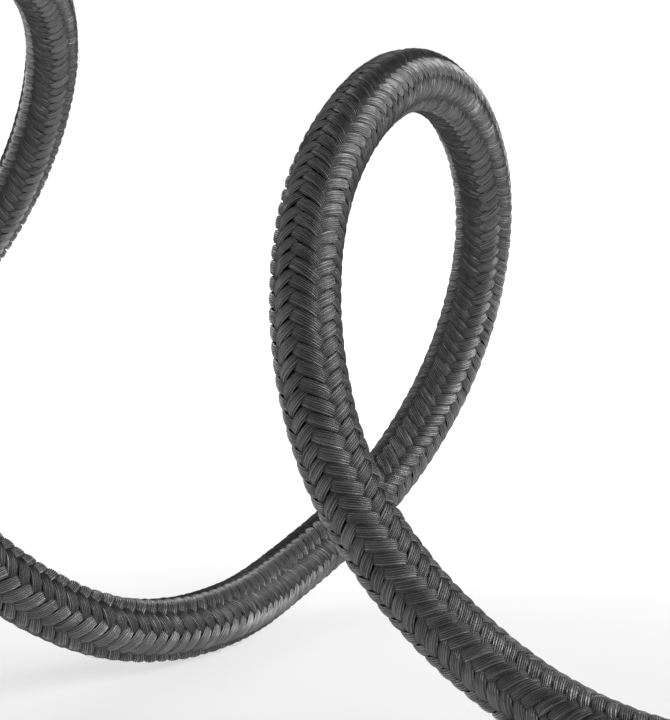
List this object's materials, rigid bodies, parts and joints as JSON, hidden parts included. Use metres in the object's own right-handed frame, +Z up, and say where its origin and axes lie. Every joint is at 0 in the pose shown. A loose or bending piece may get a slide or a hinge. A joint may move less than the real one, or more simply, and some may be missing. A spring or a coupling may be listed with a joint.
{
  "type": "cable shutter release",
  "caption": "Plunger-type cable shutter release: sprung thumb button with lock screw and finger disc, braided looped cable, swivelling tapered thread with a sliding release pin.",
  "frame": {"origin": "on the table under the middle of the grip, which lies on its finger disc", "axes": "+X along the grip's axis towards the thumb button, +Z up; the cable leaves towards -X and its threaded end points to -Y"},
  "size_m": [0.28, 0.1302, 0.057],
  "materials": {
    "plated_metal": "satin nickel plate",
    "steel": "satin",
    "brass": "turned",
    "black_plastic": "polished",
    "rubber": "matt",
    "braid": "satin yarn"
  },
  "bodies": {
    "grip": {"guide_cap": "plated_metal", "finger_disc": "plated_metal", "barrel": "plated_metal", "return_spring": "steel", "grip_ferrule": "steel", "grip_boot": "rubber", "braided_cover": "braid", "spiral_conduit": "steel", "core_wire": "steel", "end_boot": "rubber", "end_ferrule": "plated_metal", "end_tube": "steel"},
    "plunger": {"thumb_button": "black_plastic", "plunger_stem": "steel", "stop_collar": "brass", "wire_nipple": "brass", "core_wire_grip_end": "steel"},
    "pin": {"release_pin": "steel", "core_wire_pin_end": "steel"},
    "pad": {"lock_pad": "brass"},
    "screw": {"lock_screw": "plated_metal"},
    "swivel": {"swivel_collar": "plated_metal", "threaded_nose": "plated_metal"}
  },
  "joints": [
    {"name": "plunger_press", "type": "slide", "parent": "grip", "child": "plunger", "axis": [-1, 0, 0], "range_m": [0, 0.008], "stiffness_N_per_m": 300, "springref_m": -0.005, "deforming": ["return_spring"]},
    {"name": "pin_slide", "type": "slide", "parent": "grip", "child": "pin", "axis": [0, -1, 0], "range_m": [0, 0.008]},
    {"name": "lock_advance", "type": "slide", "parent": "grip", "child": "pad", "axis": [0, 0, -1], "range_m": [0, 0.0004]},
    {"name": "lock_turn", "type": "hinge", "parent": "pad", "child": "screw", "pos_m": [0.0115, 0, 0.016], "axis": [0, 0, -1], "range_deg": [0, 360]},
    {"name": "swivel_turn", "type": "hinge", "parent": "grip", "child": "swivel", "pos_m": [-0.236, -0.019, 0.004], "axis": [0, -1, 0], "continuous": true}
  ],
  "couplings": [
    {"joint": "pin_slide", "follows": "plunger_press", "ratio": 1},
    {"joint": "lock_turn", "follows": "lock_advance", "rad_per_m": 15708}
  ]
}
